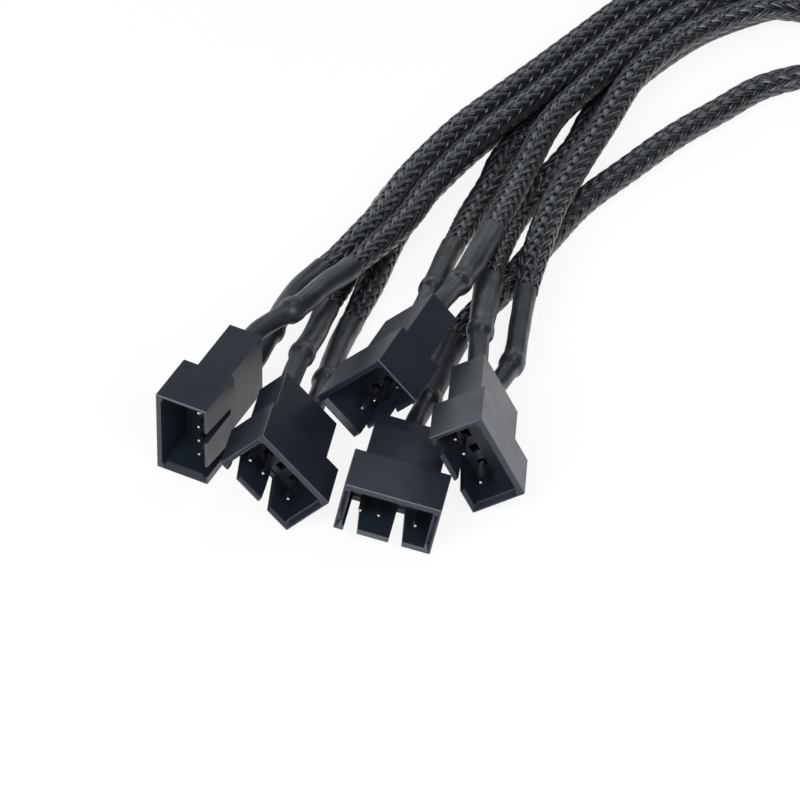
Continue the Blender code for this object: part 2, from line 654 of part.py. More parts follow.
def add_tie(finish, collection, cutters, layout):
    """A flat band round the coil's section, with a small head on its outer side."""
    inner, outer, base, top = coil_size()
    half = TIE_WIDTH / 2
    reach = PIECE_GAP + half * half / inner
    low = Vector((inner - reach, -half, base - PIECE_GAP))
    high = Vector((outer + PIECE_GAP, half, top + PIECE_GAP))
    wall = Vector((TIE_THICKNESS, 0, TIE_THICKNESS))
    shape = bmesh.new()
    add_block(shape, low - wall, high + wall)
    bmesh.ops.bevel(shape, geom=shape.edges[:], offset=TIE_THICKNESS / 4, segments=1, affect="EDGES")
    band = to_object(shape, "tie_band", cutters)
    middle = (base + top) / 2
    head_low = (high.x + TIE_THICKNESS / 2, -TIE_WIDTH * 0.7, middle - TIE_WIDTH * 0.6)
    head_high = (high.x + TIE_THICKNESS * 4, TIE_WIDTH * 0.7, middle + TIE_WIDTH * 0.6)
    add_boolean(band, cutter("tie_head", [(head_low, head_high)], cutters), "UNION")
    past = Vector((0, TIE_WIDTH, 0))
    add_boolean(band, cutter("tie_inside", [(low - past, high + past)], cutters), "DIFFERENCE")
    mesh = evaluated_mesh(band, "coil_tie")
    turned = Matrix.Rotation(math.radians(TIE_ANGLE), 4, "Z")
    add_node("coil_tie", mesh, Matrix.Translation((*COIL_MIDDLE, 0)) @ turned, finish, collection, layout)


def clear_of_coil(course):
    """The part of a course that ends just before it meets the coil."""
    reach = coil_size()[1] + LEAD_DIAMETER / 2 + PIECE_GAP
    middle = Vector(COIL_MIDDLE)
    part = []
    for point in course:
        if (point.xy - middle).length < reach:
            break
        part.append(point)
    return part


def main():
    collection, cutters = start_scene()
    plastic = material("black_plastic", (0.022, 0.023, 0.026), 0.38)
    metal = material("tinned_metal", (0.75, 0.73, 0.70), 0.25, 1.0)
    tubing = material("heat_shrink", (0.035, 0.035, 0.037), 0.55)
    braid = material("braided_sleeve", (0.020, 0.020, 0.022), 0.70)
    nylon = material("black_nylon", (0.018, 0.018, 0.020), 0.50)

    layout = bpy.data.objects.new("layout", None)
    layout.location = (-GROUP_MIDDLE[0], -GROUP_MIDDLE[1], 0)
    collection.objects.link(layout)

    housing_mesh = pin_housing_mesh(cutters)
    contact = pin_mesh()
    frames = {}
    for letter, place in HOUSINGS.items():
        frames[letter] = resting_frame(place, housing_mesh)
        add_node(f"pin_housing_{letter}", housing_mesh, frames[letter], plastic, collection, layout)
        for number in range(1, CONTACT_COUNT + 1):
            if number not in place["empty"]:
                seat = frames[letter] @ Matrix.Translation((contact_x(number), 0, 0))
                add_node(f"pin_{letter}{number}", contact, seat, metal, collection, layout)

    socket_mesh = socket_housing_mesh(cutters)
    socket_frame = resting_frame(SOCKET_PLACE, socket_mesh)
    add_node("socket_housing", socket_mesh, socket_frame, plastic, collection, layout)
    contact = socket_contact_mesh()
    for number in range(1, CONTACT_COUNT + 1):
        seat = socket_frame @ Matrix.Translation((contact_x(number), 0, 0))
        add_node(f"socket_contact_{number}", contact, seat, metal, collection, layout)

    sleeve_start = PIECE_GAP + SHRINK_LENGTH + PIECE_GAP
    for name, link in LINKS.items():
        first, first_side = link["start"]
        last, last_side = link["end"]
        points = strand_entry(frames[first], first_side, HOUSING_LENGTH) + list(link["route"])
        points += reversed(strand_entry(frames[last], last_side, HOUSING_LENGTH))
        course = smooth_course(points)
        total = distances(course)[-1]
        back = list(reversed(course))
        add_shrink(f"shrink_{name}_at_{first}", course, tubing, collection, layout)
        add_shrink(f"shrink_{name}_at_{last}", back, tubing, collection, layout)
        middle = stretch(course, sleeve_start, total - sleeve_start)
        add_lead(f"link_{name}", middle, braid, collection, layout)

    letter, side = FEED_STRAND
    points = strand_entry(frames[letter], side, HOUSING_LENGTH) + list(FEED_ROUTE)
    course = smooth_course(points)
    add_shrink(f"shrink_feed_at_{letter}", course, tubing, collection, layout)
    free = stretch(course, sleeve_start, distances(course)[-1])
    add_lead("feed_lead", clear_of_coil(free), braid, collection, layout)

    points = strand_entry(socket_frame, 0, SOCKET_LENGTH) + list(reversed(FEED_TAIL))
    course = smooth_course(points)
    add_shrink("shrink_feed_at_socket", course, tubing, collection, layout)
    free = stretch(course, sleeve_start, distances(course)[-1])
    add_lead("feed_tail", clear_of_coil(free), braid, collection, layout)
    add_coil(braid, collection, layout)
    add_tie(nylon, collection, cutters, layout)


main()
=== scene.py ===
# Fan splitter cable: five pin housings on braided links, and a coiled feed lead with a socket housing.
import math

import bmesh
import bpy
import numpy as np
from mathutils import Matrix, Vector


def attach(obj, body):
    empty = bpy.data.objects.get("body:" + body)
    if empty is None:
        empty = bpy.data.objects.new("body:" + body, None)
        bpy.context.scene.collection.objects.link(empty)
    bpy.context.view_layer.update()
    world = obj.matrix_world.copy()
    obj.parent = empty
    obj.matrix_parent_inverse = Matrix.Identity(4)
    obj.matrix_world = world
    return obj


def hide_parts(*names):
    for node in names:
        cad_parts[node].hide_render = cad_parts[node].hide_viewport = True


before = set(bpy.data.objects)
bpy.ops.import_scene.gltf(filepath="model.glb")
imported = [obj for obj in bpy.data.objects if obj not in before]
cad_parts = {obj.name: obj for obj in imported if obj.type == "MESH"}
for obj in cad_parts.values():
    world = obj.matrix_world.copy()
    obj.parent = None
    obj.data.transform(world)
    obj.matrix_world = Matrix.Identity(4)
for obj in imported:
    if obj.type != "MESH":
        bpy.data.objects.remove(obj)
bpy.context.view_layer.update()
print("frame loaded:", len(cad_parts), "nodes")


# Camera: the photograph's viewing angle, a long lens from above and in front

cameraSettings = {
    "place": (0.0068, -0.5590, 0.438),
    "tiltDown": 38.0,
    "lens": 231.2,
    "sensor": 36.0,
    "nearest": 0.01,
    "farthest": 20.0,
}


def makeCamera(settings):
    data = bpy.data.cameras.new("viewCamera")
    data.lens = settings["lens"]
    data.sensor_width = settings["sensor"]
    data.clip_start = settings["nearest"]
    data.clip_end = settings["farthest"]
    camera = bpy.data.objects.new("viewCamera", data)
    camera.location = settings["place"]
    camera.rotation_euler = (math.radians(90 - settings["tiltDown"]), 0, 0)
    bpy.context.collection.objects.link(camera)
    bpy.context.scene.camera = camera


makeCamera(cameraSettings)


# Places: the middle of each mouth in metres, and turn, tilt and roll in degrees

groupMiddle = (-0.0068, 0.0190)
pinHousings = {
    "a": {"mouth": (-0.0227, -0.0159, 0.006863), "turn": (-27, -4, -87), "empty": ()},
    "b": {"mouth": (-0.0099, -0.0267, 0.00804), "turn": (-9, 4, 48), "empty": (3,)},
    "c": {"mouth": (0.0022, -0.0105, 0.009602), "turn": (-24, -2, -45), "empty": (3,)},
    "d": {"mouth": (0.0051, -0.0310, 0.00532), "turn": (-10, 1, 12), "empty": (3,)},
    "e": {"mouth": (0.0171, -0.0233, 0.008217), "turn": (-4, 4, 63), "empty": (3,)},
}
socketHousing = {"mouth": (0.0808, 0.1480, 0.00285), "turn": (90, 0, 180)}
housingLength = 0.0185
socketLength = 0.0140


def housingFrame(place):
    yaw, tilt, roll = (math.radians(angle) for angle in place["turn"])
    out = Vector((math.sin(yaw) * math.cos(tilt), -math.cos(yaw) * math.cos(tilt), math.sin(tilt)))
    up = out.cross(Vector((0, 0, 1)).cross(out)).normalized()
    broad = up * math.cos(roll) + up.cross(out) * math.sin(roll)
    axes = Matrix((broad.cross(out), broad, out)).transposed()
    return Matrix.Translation(place["mouth"]) @ axes.to_4x4()


# Courses: the same chosen points as the solids, counted from the corner that groupMiddle is measured from

strandSide = 0.0025
strandLift = -0.00005
strandStraight = 0.003
courseStep = 0.00025
headingReach = 0.0004
links = {
    "b_a": {"start": ("b", 1), "end": ("a", -1), "route": (
        (-0.0097, 0.0229, 0.0035), (-0.0084, 0.0299, 0.0025), (-0.0063, 0.0373, 0.0020),
        (-0.0038, 0.0458, 0.0020), (-0.0010, 0.0558, 0.0020), (0.0025, 0.0645, 0.0020),
        (0.0064, 0.0714, 0.0020), (0.0109, 0.0784, 0.0020), (0.0164, 0.0853, 0.0020),
        (0.0222, 0.0924, 0.0020), (0.0279, 0.0995, 0.0020), (0.0343, 0.1079, 0.0020),
        (0.0385, 0.1130, 0.0020), (0.0425, 0.1188, 0.0020), (0.0447, 0.1250, 0.0020),
        (0.0453, 0.1320, 0.0020), (0.0450, 0.1415, 0.0020), (0.0439, 0.1458, 0.0020),
        (0.0408, 0.1490, 0.0020), (0.0365, 0.1503, 0.0020), (0.0322, 0.1493, 0.0020),
        (0.0289, 0.1464, 0.0020), (0.0274, 0.1422, 0.0020), (0.0282, 0.1378, 0.0020),
        (0.0334, 0.1320, 0.0020), (0.0376, 0.1272, 0.0022), (0.0395, 0.1226, 0.0037),
        (0.0390, 0.1178, 0.0052), (0.0366, 0.1134, 0.0054), (0.0329, 0.1091, 0.0054),
        (0.0264, 0.1008, 0.0054), (0.0207, 0.0936, 0.0054), (0.0149, 0.0865, 0.0054),
        (0.0094, 0.0796, 0.0054), (0.0048, 0.0724, 0.0054), (0.0009, 0.0654, 0.0054),
        (-0.0027, 0.0565, 0.0058), (-0.0085, 0.0458, 0.0064), (-0.0143, 0.0387, 0.0055),
        (-0.0169, 0.0322, 0.0055),
    )},
    "a_c": {"start": ("c", -1), "end": ("a", 1), "route": (
        (0.0051, 0.0384, 0.0075), (0.0068, 0.0477, 0.0050), (0.0085, 0.0547, 0.0032),
        (0.0107, 0.0625, 0.0020), (0.0133, 0.0694, 0.0020), (0.0150, 0.0753, 0.0020),
        (0.0194, 0.0829, 0.0020), (0.0251, 0.0899, 0.0020), (0.0308, 0.0970, 0.0020),
        (0.0371, 0.1053, 0.0020), (0.0430, 0.1122, 0.0020), (0.0490, 0.1195, 0.0020),
        (0.0550, 0.1256, 0.0020), (0.0610, 0.1310, 0.0020), (0.0658, 0.1371, 0.0020),
        (0.0670, 0.1412, 0.0020), (0.0661, 0.1454, 0.0020), (0.0633, 0.1487, 0.0020),
        (0.0593, 0.1502, 0.0020), (0.0551, 0.1497, 0.0020), (0.0516, 0.1473, 0.0020),
        (0.0496, 0.1435, 0.0020), (0.0497, 0.1392, 0.0020), (0.0493, 0.1325, 0.0020),
        (0.0487, 0.1260, 0.0032), (0.0458, 0.1187, 0.0054), (0.0412, 0.1124, 0.0054),
        (0.0357, 0.1066, 0.0054), (0.0293, 0.0982, 0.0054), (0.0237, 0.0911, 0.0054),
        (0.0179, 0.0841, 0.0054), (0.0125, 0.0772, 0.0054), (0.0080, 0.0703, 0.0054),
        (0.0043, 0.0636, 0.0054), (0.0009, 0.0551, 0.0059), (-0.0040, 0.0461, 0.0070),
        (-0.0077, 0.0389, 0.0085), (-0.0105, 0.0345, 0.0095), (-0.0134, 0.0290, 0.0105),
    )},
    "c_e": {"start": ("e", -1), "end": ("c", 1), "route": (
        (0.0110, 0.0237, 0.0090), (0.0117, 0.0302, 0.0084), (0.0124, 0.0387, 0.0064),
        (0.0141, 0.0507, 0.0040), (0.0170, 0.0613, 0.0021), (0.0217, 0.0707, 0.0020),
        (0.0260, 0.0788, 0.0020), (0.0288, 0.0868, 0.0020), (0.0337, 0.0945, 0.0020),
        (0.0400, 0.1027, 0.0020), (0.0460, 0.1088, 0.0020), (0.0530, 0.1134, 0.0020),
        (0.0600, 0.1166, 0.0020), (0.0680, 0.1184, 0.0020), (0.0785, 0.1198, 0.0020),
        (0.0827, 0.1218, 0.0020), (0.0853, 0.1255, 0.0020), (0.0857, 0.1300, 0.0020),
        (0.0837, 0.1342, 0.0020), (0.0800, 0.1368, 0.0020), (0.0755, 0.1372, 0.0020),
        (0.0713, 0.1352, 0.0020), (0.0687, 0.1315, 0.0020), (0.0672, 0.1272, 0.0020),
        (0.0618, 0.1222, 0.0022), (0.0547, 0.1184, 0.0038), (0.0488, 0.1136, 0.0054),
        (0.0435, 0.1088, 0.0054), (0.0386, 0.1040, 0.0054), (0.0322, 0.0957, 0.0054),
        (0.0271, 0.0883, 0.0054), (0.0223, 0.0805, 0.0054), (0.0174, 0.0656, 0.0056),
        (0.0140, 0.0528, 0.0078), (0.0113, 0.0425, 0.0097), (0.0091, 0.0362, 0.0100),
    )},
    "e_d": {"start": ("e", 1), "end": ("d", 0), "route": (
        (0.0156, 0.0238, 0.0042), (0.0166, 0.0307, 0.0045), (0.0177, 0.0389, 0.0050),
        (0.0194, 0.0475, 0.0058), (0.0218, 0.0576, 0.0059), (0.0259, 0.0691, 0.0058),
        (0.0298, 0.0790, 0.0056), (0.0354, 0.0930, 0.0054), (0.0416, 0.1013, 0.0054),
        (0.0480, 0.1065, 0.0054), (0.0550, 0.1104, 0.0052), (0.0620, 0.1126, 0.0032),
        (0.0705, 0.1126, 0.0020), (0.0744, 0.1117, 0.0020), (0.0775, 0.1091, 0.0020),
        (0.0791, 0.1054, 0.0020), (0.0790, 0.1014, 0.0020), (0.0770, 0.0979, 0.0020),
        (0.0737, 0.0956, 0.0020), (0.0697, 0.0950, 0.0020), (0.0630, 0.0972, 0.0020),
        (0.0546, 0.0943, 0.0020), (0.0476, 0.0880, 0.0020), (0.0406, 0.0813, 0.0020),
        (0.0334, 0.0729, 0.0020), (0.0262, 0.0642, 0.0020), (0.0211, 0.0554, 0.0020),
        (0.0169, 0.0477, 0.0020), (0.0132, 0.0413, 0.0020), (0.0096, 0.0359, 0.0020),
        (0.0065, 0.0280, 0.0022), (0.0038, 0.0161, 0.0035),
    )},
}
feed = {
    "strand": ("b", -1),
    "route": (
        (-0.0136, 0.0202, 0.0080), (-0.0119, 0.0272, 0.0063), (-0.0105, 0.0348, 0.0046),
        (-0.0084, 0.0450, 0.0020), (-0.0045, 0.0573, 0.0020), (-0.0009, 0.0663, 0.0020),
        (0.0032, 0.0735, 0.0020), (0.0078, 0.0807, 0.0020), (0.0134, 0.0877, 0.0020),
        (0.0192, 0.0948, 0.0020), (0.0250, 0.1020, 0.0020), (0.0314, 0.1104, 0.0020),
        (0.0342, 0.1146, 0.0020), (0.0353, 0.1192, 0.0020), (0.0335, 0.1240, 0.0020),
        (0.0290, 0.1270, 0.0020), (0.0220, 0.1275, 0.0020), (0.0140, 0.1275, 0.0023),
        (0.0070, 0.1275, 0.0026),
    ),
    "tail": (
        (0.0070, 0.1658, 0.0123), (0.0140, 0.1663, 0.0106), (0.0210, 0.1668, 0.0074),
        (0.0280, 0.1670, 0.0044), (0.0350, 0.1670, 0.0025), (0.0420, 0.1670, 0.0020),
        (0.0500, 0.1670, 0.0022),
    ),
    "coilMiddle": (0.0, 0.1465),
    "coilRadius": 0.0190,
    "coilTurns": 2.5,
    "coilRise": 0.0038,
    "coilBase": 0.00285,
    "pointsPerTurn": 16,
}


# Two points straight out of a housing's rear.
def strandEntry(place, side, length):
    axes = housingFrame(place)
    depths = (-length, -length - strandStraight)
    return [axes @ Vector((side * strandSide, strandLift, depth)) for depth in depths]


def placed(points):
    return [Vector((x - groupMiddle[0], y - groupMiddle[1], z)) for x, y, z in points]


# Points on a centripetal Catmull-Rom curve, a short and nearly equal distance apart.
def smoothCourse(points):
    knots = np.array([tuple(point) for point in points])
    knots = np.vstack([2 * knots[0] - knots[1], knots, 2 * knots[-1] - knots[-2]])
    course = []
    for before, start, end, after in zip(knots, knots[1:], knots[2:], knots[3:]):
        t1 = math.sqrt(np.linalg.norm(start - before))
        t2 = t1 + math.sqrt(np.linalg.norm(end - start))
        t3 = t2 + math.sqrt(np.linalg.norm(after - end))
        count = max(2, int(np.linalg.norm(end - start) / courseStep))
        t = (t1 + (t2 - t1) * np.arange(count) / count)[:, None]
        a1 = before * ((t1 - t) / t1) + start * (t / t1)
        a2 = start * ((t2 - t) / (t2 - t1)) + end * ((t - t1) / (t2 - t1))
        a3 = end * ((t3 - t) / (t3 - t2)) + after * ((t - t2) / (t3 - t2))
        b1 = a1 * ((t2 - t) / t2) + a2 * (t / t2)
        b2 = a2 * ((t3 - t) / (t3 - t1)) + a3 * ((t - t1) / (t3 - t1))
        course.append(b1 * ((t2 - t) / (t2 - t1)) + b2 * ((t - t1) / (t2 - t1)))
    course.append(knots[-2][None])
    return np.vstack(course)


# The points of a course at the given lengths along it.
def readCourse(course, lengths):
    steps = np.linalg.norm(np.diff(course, axis=0), axis=1)
    along = np.concatenate([[0.0], np.cumsum(steps)])
    return np.stack([np.interp(lengths, along, course[:, axis]) for axis in range(3)], axis=1)


def courseLength(course):
    return float(np.linalg.norm(np.diff(course, axis=0), axis=1).sum())


# Place, heading, side and upward direction at lengths along a course; up stays as near to +Z as it can.
def courseFrames(course, lengths):
    here = readCourse(course, lengths)
    ahead = readCourse(course, np.minimum(lengths + headingReach, courseLength(course)))
    behind = readCourse(course, np.maximum(lengths - headingReach, 0.0))
    along = ahead - behind
    along /= np.linalg.norm(along, axis=1, keepdims=True)
    side = np.cross(along, (0.0, 0.0, 1.0))
    side /= np.linalg.norm(side, axis=1, keepdims=True)
    return here, along, side, np.cross(side, along)


# The turns of the coil, clockwise and rising, as a loop works them out.
def coilPoints(settings):
    count = int(settings["coilTurns"] * settings["pointsPerTurn"])
    points = []
    for index in range(count + 1):
        turns = settings["coilTurns"] * index / count
        angle = -math.pi / 2 - 2 * math.pi * turns
        x = settings["coilMiddle"][0] + settings["coilRadius"] * math.cos(angle)
        y = settings["coilMiddle"][1] + settings["coilRadius"] * math.sin(angle)
        points.append((x, y, settings["coilBase"] + settings["coilRise"] * turns))
    return points


def linkCourse(link):
    (first, firstSide), (last, lastSide) = link["start"], link["end"]
    points = strandEntry(pinHousings[first], firstSide, housingLength) + placed(link["route"])
    points += reversed(strandEntry(pinHousings[last], lastSide, housingLength))
    return smoothCourse(points)


def feedCourse(settings):
    letter, side = settings["strand"]
    points = strandEntry(pinHousings[letter], side, housingLength) + placed(settings["route"])
    points += placed(coilPoints(settings)) + placed(settings["tail"])
    points += reversed(strandEntry(socketHousing, 0, socketLength))
    return smoothCourse(points)


# The node group that more than one finish uses

def newGroup(name, inputs, outputs):
    group = bpy.data.node_groups.new(name, "ShaderNodeTree")
    for label, kind, value in inputs:
        socket = group.interface.new_socket(label, in_out="INPUT", socket_type=kind)
        if value is not None:
            socket.default_value = value
    for label, kind in outputs:
        group.interface.new_socket(label, in_out="OUTPUT", socket_type=kind)
    return group, group.nodes.new("NodeGroupInput"), group.nodes.new("NodeGroupOutput")


grainPattern = {
    "fineDetail": 3.0,
    "slowScale": 260.0,
    "slowDetail": 4.0,
}


# Fine spark-eroded grain and slow tone change of moulded or shrunk plastic, on Object coordinates.
def mouldedGrainGroup(pattern):
    inputs = [
        ("Base", "NodeSocketColor", (0.02, 0.02, 0.02, 1.0)),
        ("Tone", "NodeSocketFloat", 0.2),
        ("Grain Size", "NodeSocketFloat", 9000.0),
        ("Grain", "NodeSocketFloat", 0.1),
        ("Roughness", "NodeSocketFloat", 0.4),
        ("Uneven", "NodeSocketFloat", 0.1),
    ]
    outputs = [("Color", "NodeSocketColor"), ("Roughness", "NodeSocketFloat"), ("Height", "NodeSocketFloat")]
    group, entry, leave = newGroup("mouldedGrain", inputs, outputs)
    nodes, wires = group.nodes, group.links
    place = nodes.new("ShaderNodeTexCoord")
    fine = nodes.new("ShaderNodeTexNoise")
    fine.inputs["Detail"].default_value = pattern["fineDetail"]
    slow = nodes.new("ShaderNodeTexNoise")
    slow.inputs["Scale"].default_value = pattern["slowScale"]
    slow.inputs["Detail"].default_value = pattern["slowDetail"]
    wires.new(place.outputs["Object"], fine.inputs["Vector"])
    wires.new(place.outputs["Object"], slow.inputs["Vector"])
    wires.new(entry.outputs["Grain Size"], fine.inputs["Scale"])
    centred = nodes.new("ShaderNodeMath")
    centred.operation = "SUBTRACT"
    centred.inputs[1].default_value = 0.5
    wires.new(slow.outputs["Fac"], centred.inputs[0])
    tone = nodes.new("ShaderNodeMath")
    tone.operation = "MULTIPLY_ADD"
    tone.inputs[2].default_value = 1.0
    wires.new(centred.outputs[0], tone.inputs[0])
    wires.new(entry.outputs["Tone"], tone.inputs[1])
    shade = nodes.new("ShaderNodeVectorMath")
    shade.operation = "SCALE"
    wires.new(entry.outputs["Base"], shade.inputs[0])
    wires.new(tone.outputs[0], shade.inputs["Scale"])
    wires.new(shade.outputs[0], leave.inputs["Color"])
    rough = nodes.new("ShaderNodeMath")
    rough.operation = "MULTIPLY_ADD"
    wires.new(centred.outputs[0], rough.inputs[0])
    wires.new(entry.outputs["Uneven"], rough.inputs[1])
    wires.new(entry.outputs["Roughness"], rough.inputs[2])
    wires.new(rough.outputs[0], leave.inputs["Roughness"])
    height = nodes.new("ShaderNodeMath")
    height.operation = "MULTIPLY"
    wires.new(fine.outputs["Fac"], height.inputs[0])
    wires.new(entry.outputs["Grain"], height.inputs[1])
    wires.new(height.outputs[0], leave.inputs["Height"])
    return group


mouldedGrain = mouldedGrainGroup(grainPattern)


# A Principled finish whose colour, roughness and bump come from the moulded grain group.
def grainMaterial(name, values):
    made = bpy.data.materials.new(name)
    made.use_nodes = True
    nodes, wires = made.node_tree.nodes, made.node_tree.links
    shader = nodes["Principled BSDF"]
    shader.inputs["Metallic"].default_value = values["metallic"]
    shader.inputs["Specular IOR Level"].default_value = values["specular"]
    grain = nodes.new("ShaderNodeGroup")
    grain.node_tree = mouldedGrain
    grain.inputs["Base"].default_value = (*values["colour"], 1.0)
    grain.inputs["Tone"].default_value = values["tone"]
    grain.inputs["Grain Size"].default_value = values["grainSize"]
    grain.inputs["Grain"].default_value = values["grain"]
    grain.inputs["Roughness"].default_value = values["roughness"]
    grain.inputs["Uneven"].default_value = values["uneven"]
    bump = nodes.new("ShaderNodeBump")
    bump.inputs["Strength"].default_value = values["bump"]
    bump.inputs["Distance"].default_value = values["bumpDepth"]
    wires.new(grain.outputs["Color"], shader.inputs["Base Color"])
    wires.new(grain.outputs["Roughness"], shader.inputs["Roughness"])
    wires.new(grain.outputs["Height"], bump.inputs["Height"])
    wires.new(bump.outputs["Normal"], shader.inputs["Normal"])
    return made


# Housings, contacts and tie: the solids' own shapes with their sharp edges rounded

housingFinish = {
    "colour": (0.0105, 0.0145, 0.0210),
    "tone": 0.35,
    "grainSize": 7000.0,
    "grain": 1.0,
    "roughness": 0.38,
    "uneven": 0.16,
    "metallic": 0.0,
    "specular": 0.5,
    "bump": 0.12,
    "bumpDepth": 0.00004,
    "edgeRadius": 0.00005,
    "edgeSteps": 2,
}
# Lighter colour for the housings' narrow edge faces: a painted highlight along the edges.
edgeHighlightFinish = {
    "colour": (0.040, 0.043, 0.050),
    "tone": 0.9,
    "grainSize": 900.0,
    "grain": 1.0,
    "roughness": 0.42,
    "uneven": 0.2,
    "metallic": 0.0,
    "specular": 0.6,
    "bump": 0.2,
    "bumpDepth": 0.00003,
    "widest": 0.00022,
}
contactFinish = {
    "colour": (0.52, 0.51, 0.50),
    "tone": 0.1,
    "grainSize": 1500.0,
    "grain": 1.0,
    "roughness": 0.24,
    "uneven": 0.06,
    "metallic": 1.0,
    "specular": 0.5,
    "bump": 0.01,
    "bumpDepth": 0.00003,
    "edgeRadius": 0.00014,
    "edgeSteps": 3,
}
tieFinish = {
    "colour": (0.014, 0.014, 0.016),
    "tone": 0.3,
    "grainSize": 6000.0,
    "grain": 1.0,
    "roughness": 0.45,
    "uneven": 0.12,
    "metallic": 0.0,
    "specular": 0.5,
    "bump": 0.1,
    "bumpDepth": 0.00004,
    "edgeRadius": 0.00012,
    "edgeSteps": 2,
}


rounding = {
    "weld": 0.000002,
    "flatAngle": 1.0,
    "sharpAngle": 20.0,
}


# A solid's own mesh with its triangles merged to flat faces and its edges rounded, the narrow edge faces
# taking a finish of their own (on the housings a lighter one, a painted highlight along the edges).
def roundedPiece(node, name, settings, finish, edgeFinish):
    shape = bmesh.new()
    shape.from_mesh(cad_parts[node].data)
    bmesh.ops.remove_doubles(shape, verts=shape.verts[:], dist=rounding["weld"])
    flat = math.radians(rounding["flatAngle"])
    bmesh.ops.dissolve_limit(shape, angle_limit=flat, verts=shape.verts[:], edges=shape.edges[:])
    limit = math.radians(rounding["sharpAngle"])
    sharp = [edge for edge in shape.edges if edge.calc_face_angle(0.0) > limit]
    rounded = bmesh.ops.bevel(
        shape, geom=sharp, offset=settings["edgeRadius"], offset_type="OFFSET", affect="EDGES",
        segments=settings["edgeSteps"], profile=0.5, material=-1, clamp_overlap=True,
    )["faces"]
    for face in shape.faces:
        face.smooth = False
    for face in rounded:
        face.smooth = True
    # Narrow faces, the rounded edges and thin chamfers, take the second finish; on the housings it is the
    # lighter painted edge highlight.
    for face in shape.faces:
        face.material_index = int(2 * face.calc_area() < edgeHighlightFinish["widest"] * face.calc_perimeter())
    mesh = bpy.data.meshes.new(name)
    shape.to_mesh(mesh)
    shape.free()
    mesh.materials.append(finish)
    mesh.materials.append(edgeFinish)
    piece = bpy.data.objects.new(name, mesh)
    bpy.context.collection.objects.link(piece)
    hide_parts(node)
    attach(piece, "root")
    return piece


housingPlastic = grainMaterial("housingPlastic", housingFinish)
paintedEdgeHighlight = grainMaterial("paintedEdgeHighlight", edgeHighlightFinish)
contactMetal = grainMaterial("contactMetal", contactFinish)
tieNylon = grainMaterial("tieNylon", tieFinish)


def housingPiece(node, name):
    return roundedPiece(node, name, housingFinish, housingPlastic, paintedEdgeHighlight)


def contactPiece(node, name):
    return roundedPiece(node, name, contactFinish, contactMetal, contactMetal)


for letter, place in pinHousings.items():
    housingPiece(f"pin_housing_{letter}", f"pinHousing_{letter}")
    for number in range(1, 5):
        if number not in place["empty"]:
            contactPiece(f"pin_{letter}{number}", f"pin_{letter}_{number}")
socketPieces = [housingPiece("socket_housing", "socketHousing")]
for number in range(1, 5):
    socketPieces.append(contactPiece(f"socket_contact_{number}", f"socketContact_{number}"))
tie = roundedPiece("coil_tie", "coilTie", tieFinish, tieNylon, tieNylon)
print("housings, contacts and tie made")


# Heat-shrink tubes: a neck at the housing, a bulge where the braid ends, and a mouth over the braid

shrinkShape = {
    "length": 0.0255,
    "gap": 0.0003,
    "profile": ((0.0, 1.38), (4.0, 1.40), (7.6, 1.42), (8.7, 1.50), (9.1, 1.80), (9.5, 1.86), (10.6, 1.86),
                (11.0, 1.78), (11.5, 1.64), (13.0, 1.60), (18.0, 1.62), (23.0, 1.66), (25.5, 1.73)),
    "unit": 0.001,
    "wall": 0.00022,
    "sides": 40,
    "rings": 100,
    "wireRidges": 4,
    "ridgeHeight": 0.045,
    "wrinkle": 0.018,
    "mouthDepth": 0.0012,
    "flattenFrom": 0.008,
    "gapBefore": 0.2,
    "gapBeyond": 0.8,
    "ridgeReach": 0.30,
    "waveCount": 27,
    "waveSkew": 2,
    "waveSides": 3,
    "waveShift": 1.7,
    "lipOut": 0.3,
    "lipIn": 0.45,
    "easing": 10,
    "sharpAngle": 50.0,
}
shrinkWidths = {"shrink_c_e_e": 1.20, "shrink_c_e_c": 1.12, "shrink_e_d_e": 0.94, "shrink_e_d_d": 1.25}
shrinkFinish = {
    "colour": (0.0125, 0.0155, 0.0200),
    "tone": 1.2,
    "grainSize": 1700.0,
    "grain": 1.0,
    "roughness": 0.42,
    "uneven": 0.4,
    "metallic": 0.0,
    "specular": 0.6,
    "bump": 0.5,
    "bumpDepth": 0.00010,
}
heatShrink = grainMaterial("heatShrink", shrinkFinish)


# Radii between the profile's points, eased so that no corner shows.
def smoothProfile(profile, distances):
    at = np.array([distance for distance, radius in profile])
    radii = np.array([radius for distance, radius in profile])
    fine = np.linspace(at[0], at[-1], 301)
    values = np.interp(fine, at, radii)
    for _ in range(shrinkShape["easing"]):
        values[1:-1] = (values[:-2] + 2 * values[1:-1] + values[2:]) / 4
    return np.interp(distances, fine, values)


# Extrude a ring of points from one place to the next; places holds the points of each ring.
def sweptRings(shape, places, sides):
    ring = bmesh.ops.create_circle(shape, cap_ends=False, segments=sides, radius=1.0)["verts"]
    for corner, point in zip(ring, places[0]):
        corner.co = point
    edges = shape.edges[:]
    for points in places[1:]:
        made = bmesh.ops.extrude_edge_only(shape, edges=edges)["geom"]
        ring = [item for item in made if isinstance(item, bmesh.types.BMVert)]
        edges = [item for item in made if isinstance(item, bmesh.types.BMEdge)]
        for corner, point in zip(ring, points):
            corner.co = point


